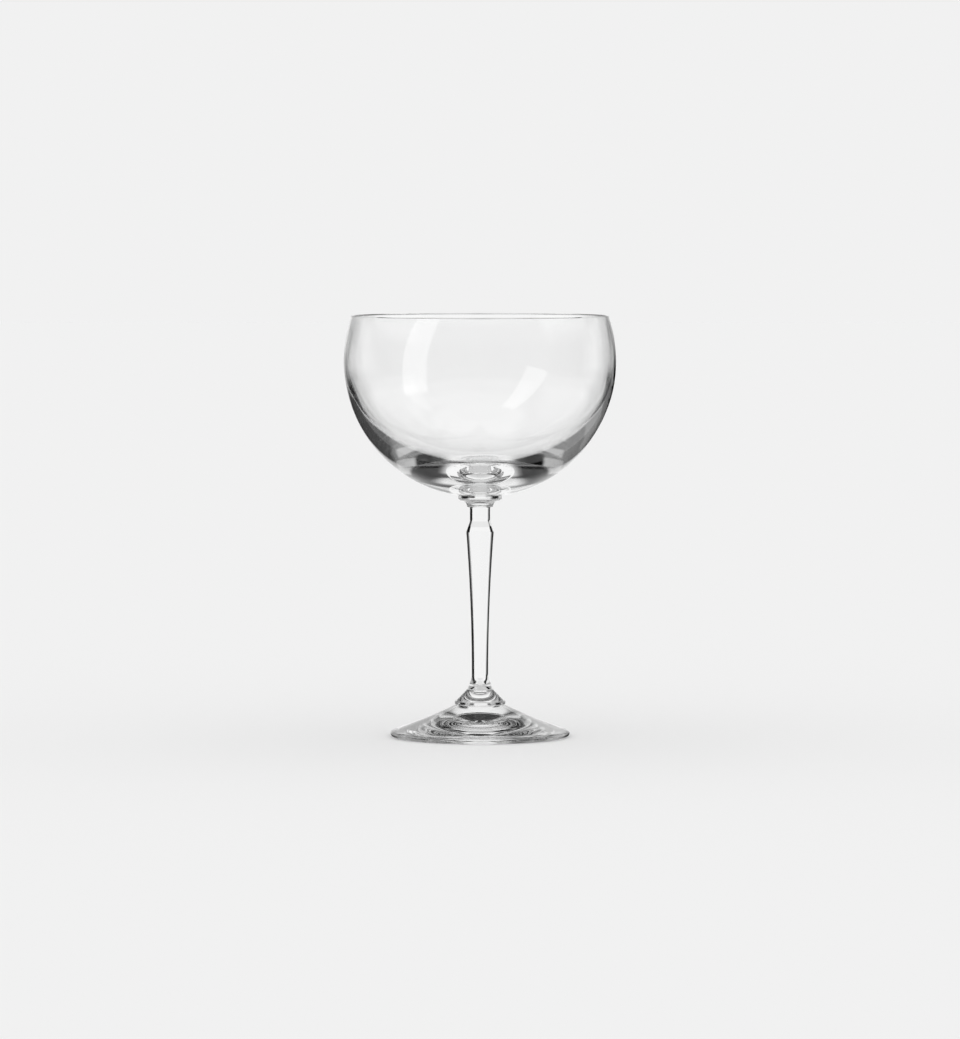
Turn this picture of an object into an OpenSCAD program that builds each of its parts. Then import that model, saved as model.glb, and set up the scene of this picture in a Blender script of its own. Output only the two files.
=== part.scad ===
// Coupe glass: a round blown bowl on a faceted stem, with a wafer collar at each end of the stem.
// Millimetres, +Z up, origin on the table at the centre of the foot.

/* [Bowl] */
// Outer diameter of the round bowl at its widest
bowl_d = 107.6; // [96:0.2:120]
// Height of the bowl, from its seat on the collar to the rim
bowl_h = 70.6; // [64:0.2:78]
// Diameter of the flat under the bowl, where the collar is fused on
bowl_seat_d = 23; // [18:0.2:28]
// Wall at the widest part of the bowl
bowl_wall = 1.35; // [1.2:0.05:2]
// Lift of the inside's centre above the outside's, which thins the wall towards the rim
inside_lift = 2.1; // [1.5:0.1:2.6]
// Thickness of the bowl's bottom on the axis
bottom_t = 7; // [6:0.5:10]
// How much smaller the radius of the inside's lower curve is than the radius of its side
corner_inset = 7.5; // [5:0.5:16]
// How much larger the radius of the inside's bottom is than the radius of its lower curve
floor_ease = 15; // [10:1:50]
// Radius of the fire-polished bead on the rim
bead_r = 0.5; // [0.45:0.05:0.7]

/* [Collars] */
// Height of the collar under the bowl
upper_collar_h = 2.1; // [1.5:0.1:3]
// Height of the collar on the foot
lower_collar_h = 1.7; // [1.5:0.1:3]
// How far a collar stands out past the stem's end
collar_lip = 0.65; // [0.55:0.05:1.5]
// Radius of the collars' rounded edges
collar_edge_r = 0.5; // [0.3:0.05:0.5]

/* [Stem] */
// Length of the stem between the two collars
stem_h = 79.5; // [70:0.5:95]
// Diameter of the stem's top end, at the upper collar
stem_top_d = 15.9; // [14:0.1:16.2]
// Radius of the flare under the upper collar
flare_r = 3.2; // [3:0.1:4]
// Straight edge left at the rim of that flare
flare_edge = 0.2; // [0.1:0.05:0.5]
// Diameter of the neck, over its rounded corners
neck_d = 10; // [9.4:0.1:10.4]
// Neck measured across the flats
neck_flats = 8; // [7.4:0.1:8.6]
// Length of the neck
neck_h = 5; // [4:0.1:7]
// Height of the ledge where the neck's facets stop, above the neck
ledge_rise = 0.5; // [0.2:0.1:1]
// Diameter of the shoulder, over its rounded corners
shoulder_d = 13.6; // [12.8:0.1:14.4]
// Shoulder measured across the flats
shoulder_flats = 10.9; // [10.2:0.1:11.6]
// Height of the sloping facets between the neck and the shoulder
shoulder_h = 4.1; // [3:0.1:6]
// Diameter of the stem's thinnest part, over its rounded corners
ankle_d = 7.9; // [7.5:0.1:8.6]
// Thinnest part measured across the flats
ankle_flats = 6.5; // [6.1:0.1:6.9]
// Height of the thinnest part above the lower collar
ankle_h = 8.1; // [7:0.1:9]
// Height above the lower collar at which the facets run out
facet_h = 10.1; // [9.5:0.1:12]
// Radius of the scoop that ends each facet
scoop_r = 6; // [4:0.1:8]
// Radius of the curve at the top of the lower flare
trumpet_r = 6.5; // [5:0.1:7.5]

/* [Foot] */
// Diameter of the foot
foot_d = 71; // [64:0.5:80]
// Height of the foot at its seat for the collar
foot_h = 12.7; // [11:0.1:15]
// Radius of the foot's rounded edge
foot_edge_r = 1.25; // [1:0.05:1.5]
// Radius of the hollow curve of the foot's top
foot_sweep_r = 200; // [150:10:300]
// Inner diameter of the ring that the foot rests on
rest_d = 64; // [50:0.5:66]
// Height of the hollow under the foot
hollow_h = 4.5; // [2:0.5:6]

/* [Hidden] */
$fn = 256;
// Colour of clear glass
clear = [0.90, 0.93, 0.93, 0.45];
// Reach of a cutting shape past the glass that it cuts
past = 2;
// Overlap of two curves that run into each other
lap = 0.02;
// Straight steps along the stem's long taper
taper_steps = 10;

// Levels of the pieces, from the table up
lower_collar_z = foot_h;
stem_z = lower_collar_z + lower_collar_h;
upper_collar_z = stem_z + stem_h;
bowl_z = upper_collar_z + upper_collar_h;
rim_z = bowl_z + bowl_h;

// Levels and radii along the stem
neck_top_z = upper_collar_z - flare_r - flare_edge;
neck_z = neck_top_z - neck_h;
shoulder_z = neck_z - shoulder_h;
facet_z = stem_z + facet_h;
ankle_z = stem_z + ankle_h;
stem_top_r = stem_top_d / 2;
neck_r = neck_d / 2;
shoulder_r = shoulder_d / 2;
ankle_r = ankle_d / 2;
trumpet_end_z = ankle_z - trumpet_r * sin(45);
trumpet_end_r = ankle_r + trumpet_r * (1 - cos(45)) + lap;
stem_foot_r = trumpet_end_r + trumpet_end_z - stem_z;

// Radii of the collars, and of the flat seat that the lower one shares with the foot
upper_collar_r = stem_top_r + collar_lip;
lower_collar_r = stem_foot_r + collar_lip;
foot_seat_r = lower_collar_r - collar_edge_r;

// The bowl: its outside is one sphere, its inside three arcs that run into each other
bowl_r = bowl_d / 2;
bowl_centre_z = bowl_z + circle_x(bowl_r, bowl_seat_d / 2);
side_r = bowl_r - bowl_wall;
side_z = bowl_centre_z + inside_lift;
corner_r = side_r - corner_inset;
floor_r = corner_r + floor_ease;
floor_z = bowl_z + bottom_t + floor_r;
corner_z = ((corner_inset ^ 2 - floor_ease ^ 2) / (floor_z - side_z) + side_z + floor_z) / 2;
corner_x = sqrt(corner_inset ^ 2 - (corner_z - side_z) ^ 2);
bead_z = rim_z - bead_r;
bead_x = (circle_x(bowl_r, bead_z - bowl_centre_z) + circle_x(side_r, bead_z - side_z)) / 2;

// The foot: a hollow curve on top, from the collar's seat down to the rounded edge
foot_r = foot_d / 2;
edge_x = foot_r - foot_edge_r;
edge_angle = 18;
sweep_start = [foot_seat_r, foot_h];
sweep_end = [edge_x + foot_edge_r * sin(edge_angle), foot_edge_r * (1 + cos(edge_angle)) - lap];
sweep_mid = (sweep_start + sweep_end) / 2;
sweep_half = norm(sweep_end - sweep_start) / 2;
sweep_dir = (sweep_end - sweep_start) / (2 * sweep_half);
sweep_centre = sweep_mid + sqrt(foot_sweep_r ^ 2 - sweep_half ^ 2) * [-sweep_dir.y, sweep_dir.x];
hollow_r = sweep_radius(hollow_h, rest_d / 2);

// Radius of an arc that leaves a straight line, and has moved away by rise after run
function sweep_radius(rise, run) = round((run ^ 2 + rise ^ 2) / (2 * rise) * 100) / 100;

// Points of a taper that starts upright at low and widens faster and faster up to high
function taper(low, high) = [
    for (i = [0:taper_steps]) let (t = i / taper_steps)
        [low.x + (high.x - low.x) * t ^ 2, low.y + (high.y - low.y) * t]
];

// Half width of a circle at a height above its centre
function circle_x(r, height) = sqrt(r ^ 2 - height ^ 2);

// A point at a distance from a centre, towards another point
function towards(from, to, distance) = from + distance * (to - from) / norm(to - from);

// Section of the glass left outside the lower curve of the bowl's inside
module corner_fill() {
    corner = [corner_x, corner_z];
    side_centre = [0, side_z];
    floor_centre = [0, floor_z];
    side_end = towards(side_centre, corner, side_r + past);
    floor_end = towards(floor_centre, corner, floor_r + past);
    middle = towards(corner, (side_end + floor_end) / 2, 2 * corner_r);
    difference() {
        polygon([corner, side_end, middle, floor_end]);
        translate(corner) circle(corner_r + lap);
    }
}

// Section of the hollow inside the bowl
module cavity_section() {
    difference() {
        intersection() {
            translate([0, side_z]) circle(side_r);
            translate([0, floor_z]) circle(floor_r);
        }
        corner_fill();
    }
}

module bowl() {
    color(clear) rotate_extrude() {
        difference() {
            intersection() {
                translate([0, bowl_centre_z]) circle(bowl_r);
                translate([0, bowl_z]) square([bowl_r + past, bead_z - bowl_z]);
            }
            cavity_section();
        }
        translate([bead_x, bead_z]) circle(bead_r);
    }
}

// A flat round wafer with rounded edges, standing on the level z
module collar(r, h, z) {
    color(clear) translate([0, 0, z]) rotate_extrude() {
        square([r - collar_edge_r, h]);
        translate([0, collar_edge_r]) square([r, h - 2 * collar_edge_r]);
        for (y = [collar_edge_r, h - collar_edge_r]) {
            translate([r - collar_edge_r, y]) circle(collar_edge_r);
        }
    }
}

module upper_collar() {
    collar(upper_collar_r, upper_collar_h, upper_collar_z);
}

module lower_collar() {
    collar(lower_collar_r, lower_collar_h, lower_collar_z);
}

// Section of the stem before its facets are cut: one outline, hollowed by the curves of the two flares
module blank_section() {
    difference() {
        polygon([
            [0, stem_z],
            [stem_foot_r, stem_z],
            [trumpet_end_r, trumpet_end_z],
            [trumpet_end_r, ankle_z],
            each taper([ankle_r, ankle_z], [shoulder_r, shoulder_z]),
            [neck_r, neck_z],
            [neck_r, neck_top_z],
            [stem_top_r, neck_top_z],
            [stem_top_r, upper_collar_z],
            [0, upper_collar_z]
        ]);
        translate([ankle_r + trumpet_r, ankle_z]) circle(trumpet_r);
        translate([neck_r + flare_r, neck_top_z]) circle(flare_r);
    }
}

// One cutter for the facets on one side: neck, shoulder, long taper and the scoop that ends it
module facet_cutter() {
    neck_x = neck_flats / 2;
    ankle_x = ankle_flats / 2;
    shoulder_x = shoulder_flats / 2;
    reach = shoulder_r + past;
    rotate([90, 0, 0]) linear_extrude(height = shoulder_d + past, center = true) {
        polygon([
            [reach, facet_z],
            each taper([ankle_x, facet_z], [shoulder_x, shoulder_z]),
            [neck_x, neck_z],
            [neck_x, neck_top_z + ledge_rise],
            [reach, neck_top_z + ledge_rise]
        ]);
        intersection() {
            translate([ankle_x + scoop_r, facet_z]) circle(scoop_r);
            translate([0, facet_z - scoop_r - past]) square([reach, scoop_r + past]);
        }
    }
}

module stem() {
    color(clear) difference() {
        rotate_extrude() blank_section();
        for (side = [0:90:270]) rotate(side) facet_cutter();
    }
}

module foot() {
    color(clear) rotate_extrude() {
        difference() {
            polygon([[0, 0], [edge_x, 0], [sweep_end.x, foot_edge_r], [sweep_end.x, foot_h], [0, foot_h]]);
            translate(sweep_centre) circle(foot_sweep_r);
            translate([0, hollow_h - hollow_r]) circle(hollow_r);
        }
        translate([edge_x, foot_edge_r]) circle(foot_edge_r);
    }
}

bowl();
upper_collar();
stem();
lower_collar();
foot();
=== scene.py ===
"""Coupe glass in clear fused glass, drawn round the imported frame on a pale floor.

The five pieces are open where they are fused to each other, so together they are one closed body of glass.
"""

import math

import bpy
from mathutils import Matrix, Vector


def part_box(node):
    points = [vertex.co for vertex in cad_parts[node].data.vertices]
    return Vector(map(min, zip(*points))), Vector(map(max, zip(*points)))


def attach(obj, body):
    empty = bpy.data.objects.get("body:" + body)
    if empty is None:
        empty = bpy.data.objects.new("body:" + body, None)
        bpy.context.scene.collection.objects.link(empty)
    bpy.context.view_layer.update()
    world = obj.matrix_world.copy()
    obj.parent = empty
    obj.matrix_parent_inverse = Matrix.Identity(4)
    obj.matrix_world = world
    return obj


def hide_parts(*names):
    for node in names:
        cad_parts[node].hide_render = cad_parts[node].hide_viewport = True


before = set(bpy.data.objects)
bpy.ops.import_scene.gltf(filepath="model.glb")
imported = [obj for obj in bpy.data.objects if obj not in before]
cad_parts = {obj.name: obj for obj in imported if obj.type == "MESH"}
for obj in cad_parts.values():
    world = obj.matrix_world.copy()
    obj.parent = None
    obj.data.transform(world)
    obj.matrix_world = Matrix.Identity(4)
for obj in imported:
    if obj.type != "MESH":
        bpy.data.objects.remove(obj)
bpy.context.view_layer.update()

# Real sizes, in metres
MM = 0.001

# Points closer than this are one
TINY = 1e-7

HALF_PI = math.pi / 2

# Steps of the meshes: round the axis, and along the stretches of the outlines
AROUND = 360
SEAT_STEPS = 8
OUTSIDE_STEPS = 160
BEAD_STEPS = 24
SIDE_STEPS = 100
CORNER_STEPS = 60
FLOOR_STEPS = 40
COLLAR_EDGE_STEPS = 16
HOLLOW_STEPS = 80
REST_STEPS = 4
FOOT_EDGE_STEPS = 32
SWEEP_STEPS = 100
LEDGE_STEPS = 16
FLARE_STEPS = 40


def half_width(node):
    low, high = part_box(node)
    return (high.x - low.x) / 2


def level(node):
    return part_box(node)[0].z


# Levels and radii of the pieces, from the frame
rim_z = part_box("bowl")[1].z
bowl_z = level("bowl")
upper_collar_z = level("upper_collar")
stem_z = level("stem")
lower_collar_z = level("lower_collar")
bowl_r = half_width("bowl")
upper_collar_r = half_width("upper_collar")
lower_collar_r = half_width("lower_collar")
stem_foot_r = half_width("stem")
foot_r = half_width("foot")
collar_lip = lower_collar_r - stem_foot_r
stem_top_r = upper_collar_r - collar_lip
collar_edge_r = 0.5 * MM
collar_seat_r = upper_collar_r - collar_edge_r
foot_seat_r = lower_collar_r - collar_edge_r

# The bowl's wall and its inside: a side arc, a tighter lower arc and a flatter bottom arc
bowl_seat_r = 11.5 * MM
bowl_wall = 1.35 * MM
inside_lift = 2.1 * MM
bottom_t = 7.0 * MM
corner_inset = 7.5 * MM
floor_ease = 15 * MM
bead_r = 0.5 * MM
bead_start = 0.1

# The stem's shape along its length
flare_r = 3.2 * MM
flare_edge = 0.2 * MM
neck_r = 5.0 * MM
neck_x = 4.0 * MM
neck_h = 5.0 * MM
ledge_rise = 0.5 * MM
ledge_ramp = 0.2 * MM
ledge_reach = 3 * MM
shoulder_r = 6.8 * MM
shoulder_x = 5.45 * MM
shoulder_h = 4.1 * MM
ankle_r = 3.95 * MM
ankle_x = 3.25 * MM
ankle_h = 8.1 * MM
facet_h = 10.1 * MM
scoop_r = 6.0 * MM
trumpet_r = 6.5 * MM
straight_end = 1.5 * MM

# Levels along the stem
ankle_z = stem_z + ankle_h
facet_z = stem_z + facet_h
neck_top_z = upper_collar_z - flare_r - flare_edge
neck_z = neck_top_z - neck_h
shoulder_z = neck_z - shoulder_h
ledge_z = neck_top_z + ledge_rise

# Softness of the moulded edges of the stem, and a distance at which a facet cuts nothing
soft_edge = 0.2 * MM
soft_z = 0.25 * MM
FAR = 1.0

# The foot's edge, top curve and hollow underside
foot_edge_r = 1.25 * MM
foot_sweep_r = 200 * MM
edge_angle = math.radians(18)
rest_r = 32 * MM
hollow_h = 4.5 * MM

# Depth of the faint waves that blowing and spinning leave in the glass, and how soon they fade at its ends
BLOWN_WAVE = 0.03 * MM
SPUN_WAVE = 0.1 * MM
WAVE_FADE = 12 * MM

# The waves: how often each goes round, its phase per metre along an outline, its share and its start
WAVES = ((3, 110, 1.0, 0.0), (7, -190, 0.7, 1.3), (11, 260, 0.5, 4.0))

# Edges that bend more than this stay sharp
SHARP = math.radians(40)

# The glass: how much it bends light, its colour where it is thin and thick, and streaks per metre
IOR = 1.52
THIN_TINT = (0.997, 0.998, 0.998, 1)
THICK_TINT = (0.984, 0.99, 0.988, 1)
STREAKS = 60


def mixed(low, high, t):
    return low + (high - low) * t


def spread(low, high, steps):
    """Evenly spaced values from low up to the last one before high."""
    return [mixed(low, high, i / steps) for i in range(steps)]


def arc(centre, radius, start, end, steps):
    """Points of an arc, its angles in radians from the outward direction."""
    turn = (end - start) / steps
    return [
        (centre[0] + radius * math.cos(start + i * turn), centre[1] + radius * math.sin(start + i * turn))
        for i in range(steps + 1)
    ]


def angle_of(centre, point):
    return math.atan2(point[1] - centre[1], point[0] - centre[0])


def joined(*runs):
    """One outline from several runs of points, without doubled points."""
    out = []
    for run in runs:
        for point in run:
            if not out or math.dist(point, out[-1]) > TINY:
                out.append(point)
    return out


def bowl_outline():
    outer = (0, bowl_z + math.sqrt(bowl_r**2 - bowl_seat_r**2))
    side_r = bowl_r - bowl_wall
    side = (0, outer[1] + inside_lift)
    corner_r = side_r - corner_inset
    floor_r = corner_r + floor_ease
    floor = (0, bowl_z + bottom_t + floor_r)
    corner_z = ((corner_inset**2 - floor_ease**2) / (floor[1] - side[1]) + side[1] + floor[1]) / 2
    corner = (math.sqrt(corner_inset**2 - (corner_z - side[1]) ** 2), corner_z)
    bead_z = rim_z - bead_r
    outer_x = math.sqrt(bowl_r**2 - (bead_z - outer[1]) ** 2)
    side_x = math.sqrt(side_r**2 - (bead_z - side[1]) ** 2)
    bead = ((outer_x + side_x) / 2, bead_z)
    outer_low = angle_of(outer, (bowl_seat_r, bowl_z))
    outer_top = angle_of(outer, (outer_x, bead_z))
    side_top = angle_of(side, (side_x, bead_z))
    corner_top = angle_of(side, corner)
    corner_low = angle_of(floor, corner)
    return joined(
        [(r, bowl_z) for r in spread(collar_seat_r, bowl_seat_r, SEAT_STEPS)],
        arc(outer, bowl_r, outer_low, outer_top, OUTSIDE_STEPS),
        arc(bead, bead_r, bead_start, math.pi - bead_start, BEAD_STEPS),
        arc(side, side_r, side_top, corner_top, SIDE_STEPS),
        arc(corner, corner_r, corner_top, corner_low, CORNER_STEPS),
        arc(floor, floor_r, corner_low, -HALF_PI, FLOOR_STEPS)[:-1],
        [(0, bowl_z + bottom_t)],
    )


def collar_outline(r, low_z, high_z, low_r, high_r):
    """The rounded edge of a collar, between the rings where it is fused below and above."""
    edge = r - collar_edge_r
    return joined(
        [(low_r, low_z)],
        arc((edge, low_z + collar_edge_r), collar_edge_r, -HALF_PI, 0, COLLAR_EDGE_STEPS),
        arc((edge, high_z - collar_edge_r), collar_edge_r, 0, HALF_PI, COLLAR_EDGE_STEPS),
        [(high_r, high_z)],
    )


def foot_outline():
    edge_x = foot_r - foot_edge_r
    edge = (edge_x, foot_edge_r)
    start = (foot_seat_r, lower_collar_z)
    end = (edge_x + foot_edge_r * math.sin(edge_angle), foot_edge_r * (1 + math.cos(edge_angle)))
    half = math.dist(start, end) / 2
    along = ((end[0] - start[0]) / (2 * half), (end[1] - start[1]) / (2 * half))
    rise = math.sqrt(foot_sweep_r**2 - half**2)
    sweep = ((start[0] + end[0]) / 2 - rise * along[1], (start[1] + end[1]) / 2 + rise * along[0])
    hollow_r = (rest_r**2 + hollow_h**2) / (2 * hollow_h)
    hollow = (0, hollow_h - hollow_r)
    return joined(
        [(0, hollow_h)],
        arc(hollow, hollow_r, HALF_PI, angle_of(hollow, (rest_r, 0)), HOLLOW_STEPS)[1:],
        [(r, 0) for r in spread(rest_r, edge_x, REST_STEPS)],
        arc(edge, foot_edge_r, -HALF_PI, HALF_PI - edge_angle, FOOT_EDGE_STEPS),
        arc(sweep, foot_sweep_r, angle_of(sweep, end), angle_of(sweep, start), SWEEP_STEPS),
    )


def blank_radius(z):
    """Radius of the stem over its rounded corners, at a level."""
    if z < ankle_z - trumpet_r * math.sin(math.pi / 4):
        return stem_foot_r - (z - stem_z)
    if z < ankle_z:
        return ankle_r + trumpet_r - math.sqrt(trumpet_r**2 - (ankle_z - z) ** 2)
    if z < shoulder_z:
        return mixed(ankle_r, shoulder_r, ((z - ankle_z) / (shoulder_z - ankle_z)) ** 2)
    if z < neck_z:
        return mixed(shoulder_r, neck_r, (z - shoulder_z) / shoulder_h)
    if z < neck_top_z:
        return neck_r
    return min(stem_top_r, neck_r + flare_r - math.sqrt(max(flare_r**2 - (z - neck_top_z) ** 2, 0)))


def facet_distance(z):
    """Distance of the four flat facets from the axis, at a level."""
    if z < facet_z - scoop_r:
        return FAR
    if z < facet_z:
        return ankle_x + scoop_r - math.sqrt(scoop_r**2 - (facet_z - z) ** 2)
    if z < shoulder_z:
        return mixed(ankle_x, shoulder_x, ((z - facet_z) / (shoulder_z - facet_z)) ** 2)
    if z < neck_z:
        return mixed(shoulder_x, neck_x, (z - shoulder_z) / shoulder_h)
    return neck_x


def softened(curve, z):
    """A curve along the stem with its corners rounded off."""
    return (curve(z - soft_z) + 2 * curve(z) + curve(z + soft_z)) / 4


def soft_min(a, b):
    """The smaller of two radii, rounded where they meet."""
    h = max(soft_edge - abs(a - b), 0) / soft_edge
    return min(a, b) - h * h * soft_edge / 4


def stem_rows():
    """Levels of the stem with the blank's radius and the facets' distance at each."""
    body_low = stem_z + straight_end
    body_high = ledge_z - ledge_ramp / 2
    flare_low = ledge_z + ledge_ramp / 2
    flare_high = upper_collar_z - flare_edge
    taper_low = facet_z + 2 * MM
    taper_high = shoulder_z - MM
    neck_low = neck_z + MM
    # Stretches below the ledge, with the steps of each
    stretches = (
        (stem_z, body_low, 6),
        (body_low, ankle_z, 60),
        (ankle_z, taper_low, 30),
        (taper_low, taper_high, 90),
        (taper_high, neck_low, 60),
        (neck_low, body_high, 24),
    )
    rows = []
    for stretch in stretches:
        for z in spread(*stretch):
            blank = blank_radius(z) if z < body_low else softened(blank_radius, z)
            round_end = z < facet_z - scoop_r + 2 * soft_z
            rows.append((z, blank, FAR if round_end else softened(facet_distance, z)))
    for z in spread(body_high, flare_low, LEDGE_STEPS):
        t = (z - body_high) / ledge_ramp
        rows.append((z, blank_radius(z), neck_x + ledge_reach * t * t))
    for z in spread(flare_low, flare_high, FLARE_STEPS) + [flare_high, upper_collar_z]:
        rows.append((z, blank_radius(z), FAR))
    return rows


ANGLES = [j * (2 * math.pi / AROUND) for j in range(AROUND)]


def stem_rings():
    rings = []
    for z, blank, flat in stem_rows():
        ring = []
        for angle in ANGLES:
            c, s = math.cos(angle), math.sin(angle)
            r = soft_min(blank, flat / max(abs(c), abs(s)))
            ring.append((r * c, r * s, z))
        rings.append(ring)
    return rings


def wave(angle, along):
    """An uneven wave round the axis and along an outline."""
    height = 0.0
    for count, phase, share, start in WAVES:
        height += share * math.sin(count * angle + phase * along + start)
    return height


def turned_rings(outline, depth=0.0):
    """Rings of points round the axis with faint waves, which fade towards both ends of the outline.

    A point on the axis is a ring of one point.
    """
    along = [0.0]
    for p, q in zip(outline, outline[1:]):
        along.append(along[-1] + math.dist(p, q))
    widest = max(r for r, z in outline)
    rings = []
    for (r, z), at in zip(outline, along):
        if r < TINY:
            rings.append([(0, 0, z)])
            continue
        fade = min(1.0, at / WAVE_FADE, (along[-1] - at) / WAVE_FADE)
        sway = depth * fade * fade * (3 - 2 * fade) / widest
        ring = []
        for angle in ANGLES:
            wide = r * (1 + sway * wave(angle, at))
            ring.append((wide * math.cos(angle), wide * math.sin(angle), z))
        rings.append(ring)
    return rings


def skin(name, rings, material):
    """A smooth mesh over rings of points, its faces turned to the left of the way that the rings run."""
    points, starts = [], []
    for ring in rings:
        starts.append(len(points))
        points.extend(ring)
    faces = []
    for i in range(len(rings) - 1):
        low, high = starts[i], starts[i + 1]
        for j in range(AROUND):
            k = (j + 1) % AROUND
            if len(rings[i]) == 1:
                faces.append((low, high + k, high + j))
            elif len(rings[i + 1]) == 1:
                faces.append((low + j, low + k, high))
            else:
                faces.append((low + j, low + k, high + k, high + j))
    mesh = bpy.data.meshes.new(name)
    mesh.from_pydata(points, [], faces)
    mesh.shade_smooth()
    mesh.set_sharp_from_angle(angle=SHARP)
    mesh.materials.append(material)
    obj = bpy.data.objects.new(name, mesh)
    bpy.context.scene.collection.objects.link(obj)
    return obj


def feed(tree, socket, value):
    """Set a socket to a number, or link it to another node's output."""
    if isinstance(value, (int, float)):
        socket.default_value = value
    else:
        tree.links.new(value, socket)


def math_node(tree, operation, *values):
    node = tree.nodes.new("ShaderNodeMath")
    node.operation = operation
    for socket, value in zip(node.inputs, values):
        feed(tree, socket, value)
    return node.outputs[0]


def total(tree, *values):
    out = values[0]
    for value in values[1:]:
        out = math_node(tree, "ADD", out, value)
    return out


def times(tree, *values):
    out = values[0]
    for value in values[1:]:
        out = math_node(tree, "MULTIPLY", out, value)
    return out


def gap_node(tree, a, b):
    """How far apart two values are."""
    return math_node(tree, "ABSOLUTE", math_node(tree, "SUBTRACT", a, b))


def rest_node(tree, share):
    """What a share leaves of 1."""
    return math_node(tree, "SUBTRACT", 1.0, share)


def mixed_node(tree, factor, low, high):
    node = tree.nodes.new("ShaderNodeMix")
    for name, value in (("Factor", factor), ("A", low), ("B", high)):
        feed(tree, node.inputs[name], value)
    return node.outputs["Result"]


def ramp_node(tree, value, start, end, low=0.0, high=1.0, interpolation="SMOOTHSTEP"):
    """A soft or straight step from low to high, as value goes from start to end."""
    node = tree.nodes.new("ShaderNodeMapRange")
    node.interpolation_type = interpolation
    tree.links.new(value, node.inputs["Value"])
    for name, number in (("From Min", start), ("From Max", end), ("To Min", low), ("To Max", high)):
        node.inputs[name].default_value = number
    return node.outputs["Result"]


def window(tree, value, middle, half, soft):
    """1 where value is within half of middle, falling softly to 0."""
    return ramp_node(tree, gap_node(tree, value, middle), half, half + soft, 1.0, 0.0)


def clear_glass(name, thick_z, thick_reach):
    """Polished clear glass, with a faint cool tint round the level where the piece is thickest."""
    mat = bpy.data.materials.new(name)
    mat.use_nodes = True
    tree = mat.node_tree
    shader = tree.nodes["Principled BSDF"]
    shader.inputs["Roughness"].default_value = 0.0
    shader.inputs["IOR"].default_value = IOR
    shader.inputs["Transmission Weight"].default_value = 1.0
    place = tree.nodes.new("ShaderNodeTexCoord")
    split = tree.nodes.new("ShaderNodeSeparateXYZ")
    tree.links.new(place.outputs["Object"], split.inputs[0])
    streaks = tree.nodes.new("ShaderNodeTexNoise")
    streaks.inputs["Scale"].default_value = STREAKS
    tree.links.new(place.outputs["Object"], streaks.inputs["Vector"])
    from_thick = gap_node(tree, split.outputs["Z"], thick_z)
    thick = ramp_node(tree, from_thick, 0.0, thick_reach, 1.0, 0.0)
    tint = tree.nodes.new("ShaderNodeValToRGB")
    tint.color_ramp.elements[0].color = THIN_TINT
    tint.color_ramp.elements[1].color = THICK_TINT
    tree.links.new(times(tree, thick, streaks.outputs["Fac"]), tint.inputs["Fac"])
    tree.links.new(tint.outputs["Color"], shader.inputs["Base Color"])
    return mat


# The pieces: the rings of each
upper_collar = collar_outline(upper_collar_r, upper_collar_z, bowl_z, stem_top_r, collar_seat_r)
lower_collar = collar_outline(lower_collar_r, lower_collar_z, stem_z, foot_seat_r, stem_foot_r)
pieces = {
    "bowl": turned_rings(bowl_outline(), BLOWN_WAVE),
    "upper_collar": turned_rings(upper_collar),
    "stem": stem_rings(),
    "lower_collar": turned_rings(lower_collar),
    "foot": turned_rings(foot_outline(), SPUN_WAVE),
}

# The level where each piece is thickest, and how far its tint reaches from there
thick_levels = {
    "bowl": (bowl_z, 12 * MM),
    "upper_collar": (bowl_z, 12 * MM),
    "stem": (upper_collar_z, 40 * MM),
    "lower_collar": (lower_collar_z, 12 * MM),
    "foot": (lower_collar_z, 14 * MM),
}
for node, rings in pieces.items():
    glass = clear_glass(node + "_glass", *thick_levels[node])
    piece = skin("glass_" + node, rings, glass)
    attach(piece, "root")
    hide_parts(node)

# The studio: an even white room lights the floor, and the camera sees a pale one. The glass shows a studio
# of its own: a lit backdrop between two black flags, a dim room with dark walls at the level of the glass
# and a dark ceiling, a table and lit strips at the sides, and soft boxes on both sides.
# Strengths are shares of white. Places are in degrees seen from the glass: turned to the right of the
# backdrop, aside of it on either side, raised or below the level. A patch is given by its middle, half its
# width and its soft edge, and a step by its start and end.
PALE = 0.88
DEGREE = math.radians(1)

world = bpy.data.worlds.new("studio")
bpy.context.scene.world = world
world.use_nodes = True
tree = world.node_tree
background = tree.nodes["Background"]
path = tree.nodes.new("ShaderNodeLightPath").outputs
place = tree.nodes.new("ShaderNodeTexCoord")
split = tree.nodes.new("ShaderNodeSeparateXYZ")
tree.links.new(place.outputs["Generated"], split.inputs[0])
x, y, z = split.outputs
turned = math_node(tree, "DIVIDE", math_node(tree, "ARCTAN2", x, y), DEGREE)
raised = math_node(tree, "DIVIDE", math_node(tree, "ARCSINE", z), DEGREE)
aside = math_node(tree, "ABSOLUTE", turned)
below = math_node(tree, "MAXIMUM", math_node(tree, "MULTIPLY", raised, -1.0), 0.0)


def patch(across, across_place, up_place):
    """1 on a soft-edged patch of the studio."""
    return times(tree, window(tree, across, *across_place), window(tree, raised, *up_place))


# The room, its ceiling, and what lies below on the sides and under the glass
ROOM = 0.25
CEILING = 0.04
CEILING_STEP = (19, 26)
SIDES = 0.4
SIDES_STEP = (14, 22)
UNDER = 0.6
UNDER_STEP = (46, 54)

# Light from overhead, and from high up in front
OVERHEAD = 0.8
OVERHEAD_UP = (56, 64)
OVERHEAD_ASIDE = (8, 20)
FRONT = 0.6
FRONT_UP = (26, 34)
FRONT_ASIDE = (118, 130)

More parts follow.
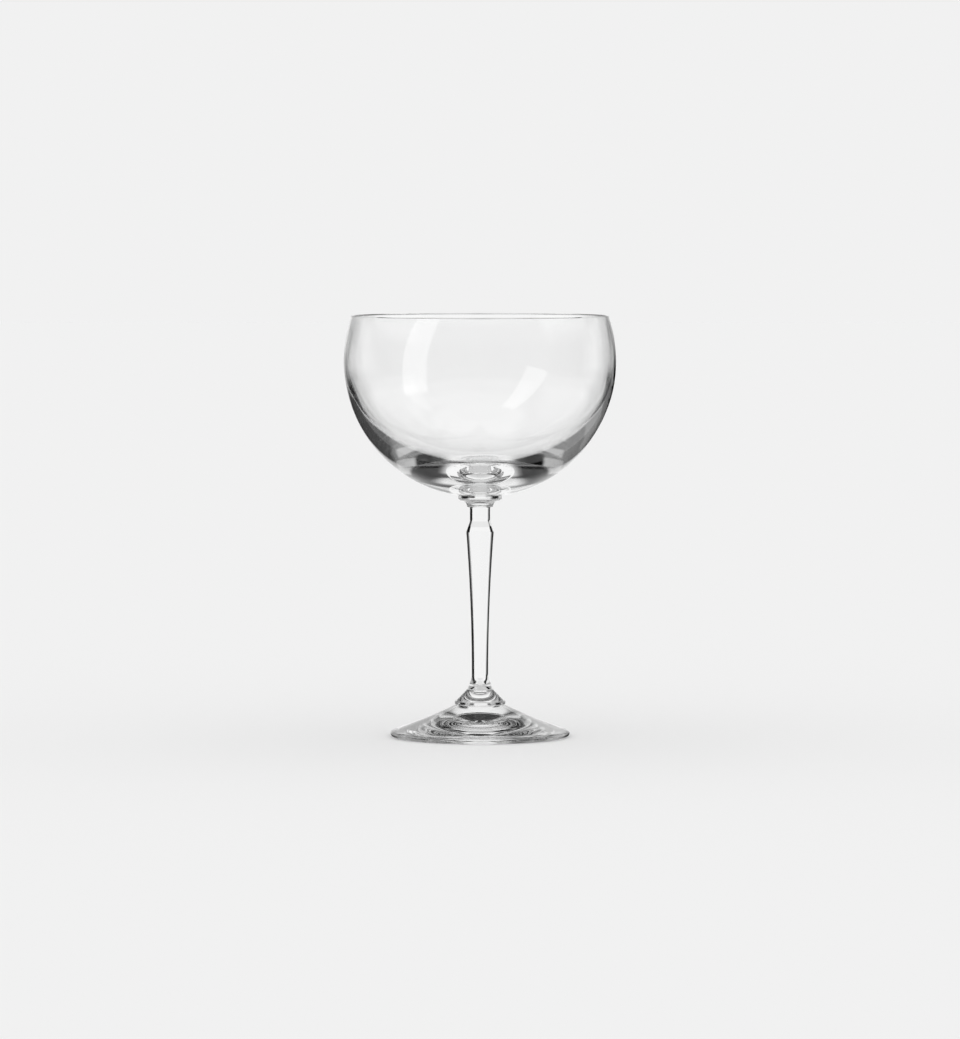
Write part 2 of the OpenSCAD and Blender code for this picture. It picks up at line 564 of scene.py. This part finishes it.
room = ramp_node(tree, raised, *CEILING_STEP, ROOM, CEILING)
overhead = times(tree, ramp_node(tree, raised, *OVERHEAD_UP), ramp_node(tree, aside, *OVERHEAD_ASIDE))
room = mixed_node(tree, overhead, room, OVERHEAD)
front = times(tree, ramp_node(tree, aside, *FRONT_ASIDE), ramp_node(tree, raised, *FRONT_UP))
room = mixed_node(tree, front, room, FRONT)
room = mixed_node(tree, ramp_node(tree, below, *SIDES_STEP), room, SIDES)
room = mixed_node(tree, ramp_node(tree, below, *UNDER_STEP), room, UNDER)

# The walls at the level of the glass, which darken to the right, and dark gaps beside the backdrop
LEVEL_PATCH = (2, 12, 5)
LEFT_WALL = 0.22
RIGHT_WALL = 0.07
WALLS_ASIDE = (76, 88)
WALLS_TURN = (-30, 30)
DARK = 0.0
GAPS_ASIDE = (38, 9, 6)

walls = times(tree, window(tree, raised, *LEVEL_PATCH), ramp_node(tree, aside, *WALLS_ASIDE))
room = mixed_node(tree, walls, room, ramp_node(tree, turned, *WALLS_TURN, LEFT_WALL, RIGHT_WALL))
room = mixed_node(tree, patch(aside, GAPS_ASIDE, LEVEL_PATCH), room, DARK)

# The table and the lit strips on both sides
TABLE = 0.9
TABLE_ASIDE = (92, 24, 8)
TABLE_UP = (-35, 16, 5)
STRIP = 0.55
STRIP_ASIDE = (62, 10, 5)
STRIP_UP = (-1, 8, 4)

room = mixed_node(tree, patch(aside, TABLE_ASIDE, TABLE_UP), room, TABLE)
room = mixed_node(tree, patch(aside, STRIP_ASIDE, STRIP_UP), room, STRIP)

# The backdrop, which dims towards its foot
BACK = 0.97
BACK_LOW = 0.66
BACK_TURN = (0, 18, 8)
BACK_UP = (-12, 34, 5)
BACK_STEP = (16, 40)

back_light = ramp_node(tree, below, *BACK_STEP, BACK, BACK_LOW)
room = mixed_node(tree, patch(turned, BACK_TURN, BACK_UP), room, back_light)

# The flags: where they bend and end, their soft sides and how they fade towards the top
FLAG_BEND = 8
FLAG_FOOT = 64
FLAG_SOFT = 3
FLAG_FADE = 6


def flag(side, middle, half, low_middle, low_half, top):
    """1 on a black flag beside the backdrop, which leans outwards and narrows towards its foot."""
    across = math_node(tree, "MULTIPLY", turned, side)
    fall = ramp_node(tree, below, FLAG_BEND, FLAG_FOOT, interpolation="LINEAR")
    centre = mixed_node(tree, fall, middle, low_middle)
    reach = mixed_node(tree, fall, half, low_half)
    off = math_node(tree, "SUBTRACT", gap_node(tree, across, centre), reach)
    cover = ramp_node(tree, off, 0, FLAG_SOFT, 1.0, 0.0)
    return times(tree, cover, ramp_node(tree, raised, top - FLAG_FADE, top, 1.0, 0.0))


left_flag = flag(side=-1, middle=22, half=10, low_middle=50, low_half=3, top=-1)
right_flag = flag(side=1, middle=19, half=8, low_middle=48, low_half=3, top=3)
room = times(tree, room, rest_node(tree, left_flag), rest_node(tree, right_flag))

# The soft boxes: a tall one in front on the left, which leans, and a small one high up on the right
BOX = 1.9
BOX_INSIDE = 0.12
BOX_LEAN = 0.14
BOX_TURN = (-123.5, 10, 3)
BOX_UP = (20, 40, 5)
FILL = 0.7
FILL_TURN = (108, 12, 6)
FILL_UP = (40, 12, 6)

leaned = math_node(tree, "MULTIPLY_ADD", raised, BOX_LEAN, turned)
box_light = mixed_node(tree, path["Is Transmission Ray"], BOX, BOX_INSIDE)
box = times(tree, patch(leaned, BOX_TURN, BOX_UP), box_light)
fill = times(tree, patch(turned, FILL_TURN, FILL_UP), FILL)
room = total(tree, room, box, fill)

# The gloss of the bowl's sides shows a lighter room
SHEEN = 0.95
SHEEN_ASIDE = (46, 20, 6)
SHEEN_UP = (6, 8, 5)

reflected = rest_node(tree, path["Is Transmission Ray"])
sheen = times(tree, patch(aside, SHEEN_ASIDE, SHEEN_UP), reflected)
room = mixed_node(tree, sheen, room, SHEEN)

# What is seen straight through the glass is pale from the other sides as well
CORNER_TURN = (-45, 12, 6)
CORNER_UP = (-28, 18, 6)
SIDE_TURN = (-90, 14, 6)
SIDE_UP = (-14, 24, 6)
BEHIND_TURN = (135, 14, 6)
BEHIND_UP = (-22, 18, 6)
DOWN_STEP = (45, 60)

direct = ramp_node(tree, path["Glossy Depth"], 0, 1, 1.0, 0.0)
views = total(
    tree,
    patch(turned, CORNER_TURN, CORNER_UP),
    patch(turned, SIDE_TURN, SIDE_UP),
    patch(turned, BEHIND_TURN, BEHIND_UP),
    ramp_node(tree, below, *DOWN_STEP),
)
room = mixed_node(tree, times(tree, direct, views), room, PALE)

# The camera sees the pale room, the floor is lit by the white one, and only the glass shows the studio
seen = math_node(tree, "MAXIMUM", path["Is Glossy Ray"], path["Is Transmission Ray"])
plain = rest_node(tree, math_node(tree, "MULTIPLY", path["Is Camera Ray"], 1 - PALE))
tree.links.new(mixed_node(tree, seen, plain, room), background.inputs["Strength"])
background.inputs["Color"].default_value = (1, 1, 1, 1)

# The floor: a wide pale sheet that takes the shadow; the glass shows the studio's own table in its place
FLOOR = 8.0
paint = bpy.data.materials.new("floor_paint")
paint.use_nodes = True
coat = paint.node_tree.nodes["Principled BSDF"]
coat.inputs["Base Color"].default_value = (PALE, PALE, PALE, 1)
coat.inputs["Roughness"].default_value = 1.0
coat.inputs["Specular IOR Level"].default_value = 0.0
sheet = bpy.data.meshes.new("floor")
corners = [(-FLOOR, -FLOOR, 0), (FLOOR, -FLOOR, 0), (FLOOR, FLOOR, 0), (-FLOOR, FLOOR, 0)]
sheet.from_pydata(corners, [], [(0, 1, 2, 3)])
sheet.materials.append(paint)
floor = bpy.data.objects.new("floor", sheet)
bpy.context.scene.collection.objects.link(floor)
floor.visible_diffuse = False
floor.visible_shadow = False
floor.visible_glossy = False
floor.visible_transmission = False

# The camera, at the photograph's distance, height and framing
AWAY = 2.2
EYE_Z = 0.209
SENSOR = 36

# In pixels of the photograph: its height, the row where the glass stands and the height of the glass
IMAGE_H = 1039
FOOT_ROW = 737
GLASS_ROWS = 421.5

px = rim_z / GLASS_ROWS
middle_z = (FOOT_ROW - IMAGE_H / 2) * px
camera_data = bpy.data.cameras.new("camera")
camera_data.sensor_width = SENSOR
camera_data.lens = SENSOR * math.dist((AWAY, EYE_Z), (0, middle_z)) / (IMAGE_H * px)
camera = bpy.data.objects.new("camera", camera_data)
camera.location = (0, -AWAY, EYE_Z)
camera.rotation_euler = (HALF_PI - math.atan2(EYE_Z - middle_z, AWAY), 0, 0)
bpy.context.scene.collection.objects.link(camera)
bpy.context.scene.camera = camera
bpy.context.scene.view_settings.view_transform = "Standard"

# Light is followed through many reflections inside the thick glass
BOUNCES = 40
cycles = bpy.context.scene.cycles
cycles.max_bounces = BOUNCES
cycles.glossy_bounces = BOUNCES
cycles.transmission_bounces = BOUNCES
